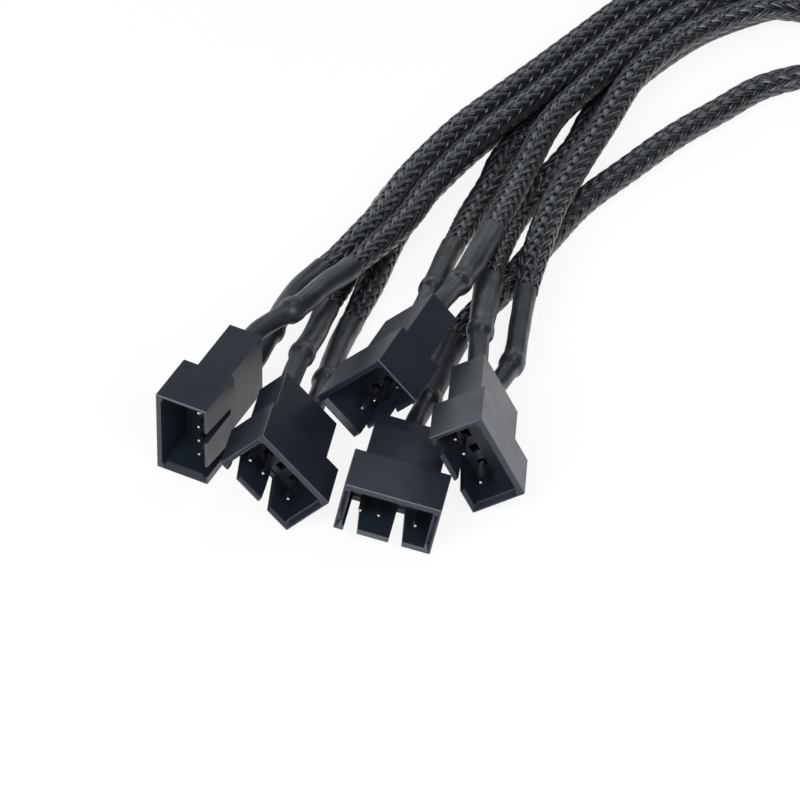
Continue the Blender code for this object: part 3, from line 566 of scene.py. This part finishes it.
# One tube of heat-shrink along the first stretch of a course, with its wall turned in at the mouth.
def makeShrink(name, node, course, seed):
    settings = shrinkShape
    shares = np.linspace(0, 1, settings["rings"])
    reach = settings["length"] + settings["gap"] * settings["gapBeyond"]
    lengths = settings["gap"] * settings["gapBefore"] + shares * reach
    here, along, side, up = courseFrames(course, lengths)
    radii = smoothProfile(settings["profile"], lengths / settings["unit"]) * settings["unit"]
    angles = np.arange(settings["sides"]) * 2 * math.pi / settings["sides"]
    neck = np.clip(1 - shares / settings["ridgeReach"], 0, 1)[:, None]
    ridges = 1 + settings["ridgeHeight"] * neck * np.cos(settings["wireRidges"] * angles + seed)
    skew = settings["waveSkew"] * np.sin(angles + seed)
    lengthways = np.sin(shares[:, None] * settings["waveCount"] + skew)
    crossways = np.sin(settings["waveSides"] * angles + seed * settings["waveShift"])
    wrinkles = 1 + settings["wrinkle"] * (lengthways * crossways)
    size = radii[:, None] * ridges * wrinkles
    beyond = np.clip(lengths / settings["flattenFrom"] - 1, 0, 1)
    side = side * (1 + (shrinkWidths.get(name, 1.0) - 1) * beyond)[:, None]
    cosine, sine = np.cos(angles)[:, None], np.sin(angles)[:, None]
    around = [cosine * side[i] + sine * up[i] for i in range(len(shares))]
    rings = [here[i] + size[i][:, None] * around[i] for i in range(len(shares))]
    mouth = around[-1]
    lip = size[-1] - settings["wall"] * settings["lipIn"]
    lipEnd = here[-1] + along[-1] * settings["wall"] * settings["lipOut"]
    inner = size[-1] - settings["wall"]
    rings.append(lipEnd + lip[:, None] * mouth)
    rings.append(here[-1] + inner[:, None] * mouth)
    rings.append(here[-1] - along[-1] * settings["mouthDepth"] + inner[:, None] * mouth)
    shape = bmesh.new()
    sweptRings(shape, rings, settings["sides"])
    bmesh.ops.holes_fill(shape, edges=[edge for edge in shape.edges if edge.is_boundary], sides=0)
    bmesh.ops.recalc_face_normals(shape, faces=shape.faces[:])
    mesh = bpy.data.meshes.new(name)
    shape.to_mesh(mesh)
    shape.free()
    mesh.shade_smooth()
    mesh.set_sharp_from_angle(angle=math.radians(settings["sharpAngle"]))
    mesh.materials.append(heatShrink)
    piece = bpy.data.objects.new(name, mesh)
    bpy.context.collection.objects.link(piece)
    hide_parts(node)
    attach(piece, "root")
    return piece


# Braided sleeves: ribbons of fine filaments, half of them turning each way, woven two over and two under

braid = {
    "ribbonsEachWay": 10,
    "pitch": 0.0265,
    "rowsPerCrossing": 2,
    "width": 0.00408,
    "height": 0.0035,
    "ribbonWidth": 0.00084,
    "ribbonSection": ((-0.5, 0.0), (-0.38, 0.75), (0.0, 1.0), (0.38, 0.75), (0.5, 0.0)),
    "ribbonThickness": 0.00016,
    "weaveDepth": 0.00010,
    "taperLength": 0.012,
    "endSize": 0.80,
    "coreGap": 0.00018,
    "coreSides": 16,
    "tuck": 0.0009,
    "diameter": 0.0035,
    "waveLimit": 1.1,
    "weld": 0.0000005,
    "sharpAngle": 60.0,
    "pathPoints": 40,
    "stepsPerPoint": 4,
}
braidWidths = {"e_d": 1.06, "c_e": 1.02}
filamentFinish = {
    "colour": (0.0065, 0.0092, 0.0128),
    "dark": (0.0010, 0.0015, 0.0022),
    "filaments": 4.0,
    "roughness": 0.25,
    "anisotropy": 0.4,
    "specular": 1.0,
    "bump": 0.9,
    "bumpDepth": 0.00003,
    "streakScale": (9.0, 0.5, 1.0),
    "streakDetail": 2.0,
    "streakGain": 1.9,
    "roughnessRange": 0.12,
}
coreFinish = {
    "colour": (0.0015, 0.0020, 0.0030),
    "tone": 0.3,
    "grainSize": 3000.0,
    "grain": 1.0,
    "roughness": 0.7,
    "uneven": 0.1,
    "metallic": 0.0,
    "specular": 0.3,
    "bump": 0.2,
    "bumpDepth": 0.00006,
}


# Several round filaments side by side along each ribbon, read from the ribbon's own UV map; the colour
# darkens towards the grooves between filaments, painted shade, and varies along random streaks.
def filamentMaterial(values):
    made = bpy.data.materials.new("braidFilaments")
    made.use_nodes = True
    nodes, wires = made.node_tree.nodes, made.node_tree.links
    shader = nodes["Principled BSDF"]
    shader.inputs["Specular IOR Level"].default_value = values["specular"]
    shader.inputs["Anisotropic"].default_value = values["anisotropy"]
    lay = nodes.new("ShaderNodeTangent")
    lay.direction_type = "UV_MAP"
    lay.uv_map = "ribbon"
    wires.new(lay.outputs["Tangent"], shader.inputs["Tangent"])
    uv = nodes.new("ShaderNodeUVMap")
    uv.uv_map = "ribbon"
    parts = nodes.new("ShaderNodeSeparateXYZ")
    wires.new(uv.outputs["UV"], parts.inputs[0])
    across = nodes.new("ShaderNodeMath")
    across.operation = "MULTIPLY"
    across.inputs[1].default_value = values["filaments"]
    wires.new(parts.outputs["X"], across.inputs[0])
    saw = nodes.new("ShaderNodeMath")
    saw.operation = "PINGPONG"
    saw.inputs[1].default_value = 0.5
    wires.new(across.outputs[0], saw.inputs[0])
    ridge = nodes.new("ShaderNodeMapRange")
    ridge.interpolation_type = "SMOOTHSTEP"
    ridge.inputs["From Max"].default_value = 0.5
    wires.new(saw.outputs[0], ridge.inputs["Value"])
    streak = nodes.new("ShaderNodeTexNoise")
    streak.inputs["Scale"].default_value = 1.0
    streak.inputs["Detail"].default_value = values["streakDetail"]
    stretched = nodes.new("ShaderNodeMapping")
    stretched.inputs["Scale"].default_value = values["streakScale"]
    wires.new(uv.outputs["UV"], stretched.inputs["Vector"])
    wires.new(stretched.outputs[0], streak.inputs["Vector"])
    # Lighter on each filament's crown and darker in the grooves between filaments, painted shade, times a
    # random streak tone.
    grooveShadeAndStreak = nodes.new("ShaderNodeMath")
    grooveShadeAndStreak.operation = "MULTIPLY"
    wires.new(ridge.outputs["Result"], grooveShadeAndStreak.inputs[0])
    wires.new(streak.outputs["Fac"], grooveShadeAndStreak.inputs[1])
    mix = nodes.new("ShaderNodeMix")
    mix.data_type = "RGBA"
    mix.inputs[6].default_value = (*values["dark"], 1.0)
    mix.inputs[7].default_value = (*values["colour"], 1.0)
    strong = nodes.new("ShaderNodeMath")
    strong.operation = "MULTIPLY"
    strong.use_clamp = True
    strong.inputs[1].default_value = values["streakGain"]
    wires.new(grooveShadeAndStreak.outputs[0], strong.inputs[0])
    wires.new(strong.outputs[0], mix.inputs[0])
    wires.new(mix.outputs[2], shader.inputs["Base Color"])
    rough = nodes.new("ShaderNodeMath")
    rough.operation = "MULTIPLY_ADD"
    rough.inputs[1].default_value = -values["roughnessRange"]
    rough.inputs[2].default_value = values["roughness"] + values["roughnessRange"]
    wires.new(streak.outputs["Fac"], rough.inputs[0])
    wires.new(rough.outputs[0], shader.inputs["Roughness"])
    bump = nodes.new("ShaderNodeBump")
    bump.inputs["Strength"].default_value = values["bump"]
    bump.inputs["Distance"].default_value = values["bumpDepth"]
    wires.new(ridge.outputs["Result"], bump.inputs["Height"])
    wires.new(bump.outputs["Normal"], shader.inputs["Normal"])
    return made


braidFilaments = filamentMaterial(filamentFinish)
braidCore = grainMaterial("braidCore", coreFinish)


# How wide the sleeve stands at lengths along it: drawn in where the heat-shrink holds each end.
def sleeveSize(lengths, total, settings):
    nearest = np.minimum(lengths, total - lengths) / settings["taperLength"]
    eased = np.clip(nearest, 0, 1)
    eased = eased * eased * (3 - 2 * eased)
    return settings["endSize"] + (1 - settings["endSize"]) * eased


# Centre, outward normal, sideways direction and size at each row along one ribbon.
def ribbonPlaces(course, start, steps, settings, wide, turned, index):
    count = settings["ribbonsEachWay"]
    spacing = settings["pitch"] / (2 * count)
    crossings = np.arange(steps * settings["rowsPerCrossing"] + 1) / settings["rowsPerCrossing"]
    lengths = start + crossings * spacing
    here, along, side, up = courseFrames(course, lengths)
    angle = math.pi * (2 * index + turned * crossings) / count
    wave = math.sqrt(2) * np.sin(math.pi / 2 * (2 * index + turned * crossings + 0.5))
    limit = settings["waveLimit"]
    lift = np.clip(wave, -limit, limit) * turned * settings["weaveDepth"]
    size = sleeveSize(lengths - start, steps * spacing, settings)
    reach = settings["ribbonThickness"] + settings["weaveDepth"]
    a = (settings["width"] / 2 - reach) * wide * size
    b = (settings["height"] / 2 - reach) * size
    cosine, sine = np.cos(angle), np.sin(angle)
    normal = (cosine / a)[:, None] * side + (sine / b)[:, None] * up
    normal /= np.linalg.norm(normal, axis=1, keepdims=True)
    centre = here + (a * cosine)[:, None] * side + (b * sine)[:, None] * up + normal * lift[:, None]
    turn = turned * math.pi / (count * spacing)
    heading = along + turn * ((-a * sine)[:, None] * side + (b * cosine)[:, None] * up)
    across = np.cross(heading, normal)
    across /= np.linalg.norm(across, axis=1, keepdims=True)
    return centre, normal, across, size


# A braided sleeve: flat strips rolled round the lead as ribbons, and the dark core that they cover.
def weaveSleeve(name, course, start, end, wide):
    settings = braid
    count = settings["ribbonsEachWay"]
    spacing = settings["pitch"] / (2 * count)
    steps = int((end - start) / spacing)
    rows = steps * settings["rowsPerCrossing"]
    section = np.array(settings["ribbonSection"])
    sides = len(section)
    shape = bmesh.new()
    for strip in range(2 * count):
        offset = Matrix.Translation((0, 0, strip))
        bmesh.ops.create_grid(
            shape, x_segments=sides, y_segments=rows, size=1.0, matrix=offset, calc_uvs=False,
        )
    core = Matrix.Translation((0, 0, 2 * count))
    bmesh.ops.create_grid(shape, x_segments=settings["coreSides"], y_segments=steps, size=1.0, matrix=core)
    mesh = bpy.data.meshes.new(name)
    shape.to_mesh(mesh)
    shape.free()
    flat = np.empty(len(mesh.vertices) * 3)
    mesh.vertices.foreach_get("co", flat)
    flat = flat.reshape(-1, 3)
    strip = np.rint(flat[:, 2]).astype(int)
    share = (flat[:, 1] + 1) / 2
    around = (flat[:, 0] + 1) / 2
    world = np.empty_like(flat)
    corner = np.rint(around * sides).astype(int) % sides
    sideways = section[corner, 0] * settings["ribbonWidth"]
    crown = section[corner, 1] * settings["ribbonThickness"]
    for index in range(2 * count):
        turned = 1 if index < count else -1
        chosen = strip == index
        row = np.rint(share[chosen] * rows).astype(int)
        centre, normal, across, size = ribbonPlaces(
            course, start, steps, settings, wide, turned, index % count,
        )
        reach = (sideways[chosen] * size[row])[:, None] * across[row]
        world[chosen] = centre[row] + reach + crown[chosen][:, None] * normal[row]
    chosen = strip == 2 * count
    lengths = start + share[chosen] * steps * spacing
    here, along, side, up = courseFrames(course, lengths)
    size = sleeveSize(lengths - start, steps * spacing, settings)
    inset = settings["ribbonThickness"] + 2 * settings["weaveDepth"] + settings["coreGap"]
    angle = around[chosen] * 2 * math.pi
    a = (settings["width"] / 2 - inset) * wide * size * np.cos(angle)
    b = (settings["height"] / 2 - inset) * size * np.sin(angle)
    world[chosen] = here + a[:, None] * side + b[:, None] * up
    mesh.vertices.foreach_set("co", world.ravel())
    corners = np.empty(len(mesh.loops), dtype=np.int32)
    mesh.loops.foreach_get("vertex_index", corners)
    uv = np.stack([around[corners] * sides / (sides - 1), share[corners] * steps], axis=1)
    layer = mesh.uv_layers.new(name="ribbon")
    layer.data.foreach_set("uv", uv.astype(np.float32).ravel())
    starts = np.empty(len(mesh.polygons), dtype=np.int32)
    mesh.polygons.foreach_get("loop_start", starts)
    faceStrip = strip[corners[starts]]
    mesh.polygons.foreach_set("material_index", (faceStrip == 2 * count).astype(np.int32))
    mesh.update()
    closeSeams(mesh)
    mesh.shade_smooth()
    mesh.set_sharp_from_angle(angle=math.radians(settings["sharpAngle"]))
    mesh.materials.append(braidFilaments)
    mesh.materials.append(braidCore)
    piece = bpy.data.objects.new(name, mesh)
    bpy.context.collection.objects.link(piece)
    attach(piece, "root")
    points = max(settings["pathPoints"], steps // settings["stepsPerPoint"])
    path = readCourse(course, np.linspace(start, start + steps * spacing, points))
    return piece, path


# Weld each strip's two long edges, close its ends and turn every face outwards.
def closeSeams(mesh):
    shape = bmesh.new()
    shape.from_mesh(mesh)
    bmesh.ops.remove_doubles(shape, verts=shape.verts[:], dist=braid["weld"])
    bmesh.ops.holes_fill(shape, edges=[edge for edge in shape.edges if edge.is_boundary], sides=0)
    bmesh.ops.recalc_face_normals(shape, faces=shape.faces[:])
    shape.to_mesh(mesh)
    shape.free()


sleeveStart = shrinkShape["length"] + 2 * shrinkShape["gap"] - braid["tuck"]


def makeLink(name, link):
    course = linkCourse(link)
    total = courseLength(course)
    first, last = link["start"][0], link["end"][0]
    back = course[::-1]
    seed = ord(first) + 0.7 * ord(last)  # so that no two tubes wrinkle alike
    makeShrink(f"shrink_{name}_{first}", f"shrink_{name}_at_{first}", course, seed)
    makeShrink(f"shrink_{name}_{last}", f"shrink_{name}_at_{last}", back, seed + 2)
    wide = braidWidths.get(name, 1.0)
    piece, path = weaveSleeve(f"link_{name}_sleeve", course, sleeveStart, total - sleeveStart, wide)
    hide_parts(f"link_{name}")
    print("link", name, "sleeve", round(courseLength(path), 4), "m, with heat-shrinks", round(total, 4), "m")


for name, link in links.items():
    makeLink(name, link)

course = feedCourse(feed)
total = courseLength(course)
makeShrink("shrink_feed_b", "shrink_feed_at_b", course, 1.0)
socketPieces.append(makeShrink("shrink_feed_socket", "shrink_feed_at_socket", course[::-1], 4.0))
piece, path = weaveSleeve("feed_sleeve", course, sleeveStart, total - sleeveStart, 1.0)
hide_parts("feed_lead", "feed_coil", "feed_tail")
print("feed sleeve", round(courseLength(path), 4), "m, with heat-shrinks", round(total, 4), "m")


# Stage: pale floor that glows brighter near the middle in reflections (a painted reflection), soft lamps and
# a white surround

stage = {
    "floorSize": 6.0,
    "floorColour": (0.93, 0.93, 0.93, 1.0),
    "floorWhiteShare": 0.88,
    "floorReflection": 2.0,
    "floorReflectionShare": 0.3,
    "floorNear": 0.30,
    "floorFar": 0.75,
    "worldStrength": 0.05,
    "lampColour": (0.90, 0.95, 1.0),
    "lampAim": (0.0, 0.0, 0.01),
    "lamps": (
        {"name": "backLeftLamp", "place": (-0.70, 1.22, 0.51), "size": 0.6, "power": 2.4},
        {"name": "backLamp", "place": (0.0, 1.36, 0.63), "size": 0.6, "power": 2.1},
        {"name": "backRightLamp", "place": (0.70, 1.22, 0.51), "size": 0.6, "power": 1.7},
        {"name": "frontLeftLamp", "place": (-0.58, -1.0, 0.96), "size": 0.8, "power": 21.0},
        {"name": "frontRightLamp", "place": (0.58, -1.0, 0.96), "size": 0.8, "power": 13.5},
        {"name": "glintLamp", "place": (0.45, 0.45, 1.36), "size": 0.25, "power": 3.0},
    ),
}


def makeFloor(settings):
    shape = bmesh.new()
    bmesh.ops.create_grid(shape, x_segments=1, y_segments=1, size=settings["floorSize"] / 2)
    mesh = bpy.data.meshes.new("studioFloor")
    shape.to_mesh(mesh)
    shape.free()
    floor = bpy.data.objects.new("studioFloor", mesh)
    bpy.context.collection.objects.link(floor)
    paint = bpy.data.materials.new("floorPaint")
    paint.use_nodes = True
    nodes, wires = paint.node_tree.nodes, paint.node_tree.links
    nodes.remove(nodes["Principled BSDF"])
    matt = nodes.new("ShaderNodeBsdfDiffuse")
    matt.inputs["Color"].default_value = settings["floorColour"]
    white = nodes.new("ShaderNodeEmission")
    light = nodes.new("ShaderNodeLightPath")
    place = nodes.new("ShaderNodeTexCoord")
    distance = nodes.new("ShaderNodeVectorMath")
    distance.operation = "LENGTH"
    wires.new(place.outputs["Object"], distance.inputs[0])
    # Near the middle the floor glows up to floorReflection, fading out by floorFar; glossy rays see a share
    # of this glow, a painted reflection of a brighter floor.
    reflectionGlow = nodes.new("ShaderNodeMapRange")
    reflectionGlow.interpolation_type = "SMOOTHSTEP"
    reflectionGlow.inputs["From Min"].default_value = settings["floorNear"]
    reflectionGlow.inputs["From Max"].default_value = settings["floorFar"]
    reflectionGlow.inputs["To Min"].default_value = settings["floorReflection"]
    reflectionGlow.inputs["To Max"].default_value = settings["worldStrength"]
    wires.new(distance.outputs["Value"], reflectionGlow.inputs["Value"])
    glow = nodes.new("ShaderNodeMix")
    glow.inputs[3].default_value = 1.0
    wires.new(light.outputs["Is Camera Ray"], glow.inputs[0])
    wires.new(reflectionGlow.outputs["Result"], glow.inputs[2])
    wires.new(glow.outputs[0], white.inputs["Strength"])
    share = nodes.new("ShaderNodeMath")
    share.operation = "MULTIPLY"
    share.inputs[1].default_value = settings["floorReflectionShare"]
    wires.new(light.outputs["Is Glossy Ray"], share.inputs[0])
    mix = nodes.new("ShaderNodeMixShader")
    seen = nodes.new("ShaderNodeMath")
    seen.operation = "MULTIPLY_ADD"
    seen.inputs[1].default_value = settings["floorWhiteShare"]
    wires.new(light.outputs["Is Camera Ray"], seen.inputs[0])
    wires.new(share.outputs[0], seen.inputs[2])
    wires.new(seen.outputs[0], mix.inputs[0])
    wires.new(matt.outputs[0], mix.inputs[1])
    wires.new(white.outputs[0], mix.inputs[2])
    wires.new(mix.outputs[0], nodes["Material Output"].inputs["Surface"])
    mesh.materials.append(paint)


def makeWorld(settings):
    world = bpy.data.worlds.new("studioWorld")
    world.use_nodes = True
    nodes, wires = world.node_tree.nodes, world.node_tree.links
    surround = nodes["Background"]
    surround.inputs["Color"].default_value = (1.0, 1.0, 1.0, 1.0)
    surround.inputs["Strength"].default_value = settings["worldStrength"]
    white = nodes.new("ShaderNodeBackground")
    white.inputs["Strength"].default_value = 1.0
    white.inputs["Color"].default_value = (1.0, 1.0, 1.0, 1.0)
    light = nodes.new("ShaderNodeLightPath")
    mix = nodes.new("ShaderNodeMixShader")
    wires.new(light.outputs["Is Camera Ray"], mix.inputs[0])
    wires.new(surround.outputs[0], mix.inputs[1])
    wires.new(white.outputs[0], mix.inputs[2])
    wires.new(mix.outputs[0], nodes["World Output"].inputs["Surface"])
    bpy.context.scene.world = world


def makeLamps(settings):
    for lamp in settings["lamps"]:
        data = bpy.data.lights.new(lamp["name"], "AREA")
        data.size = lamp["size"]
        data.energy = lamp["power"]
        data.color = settings["lampColour"]
        made = bpy.data.objects.new(lamp["name"], data)
        made.location = lamp["place"]
        toward = Vector(settings["lampAim"]) - Vector(lamp["place"])
        made.rotation_euler = toward.to_track_quat("-Z", "Y").to_euler()
        bpy.context.collection.objects.link(made)


makeFloor(stage)
makeWorld(stage)
makeLamps(stage)
bpy.context.scene.view_settings.view_transform = "Standard"
print("stage made")
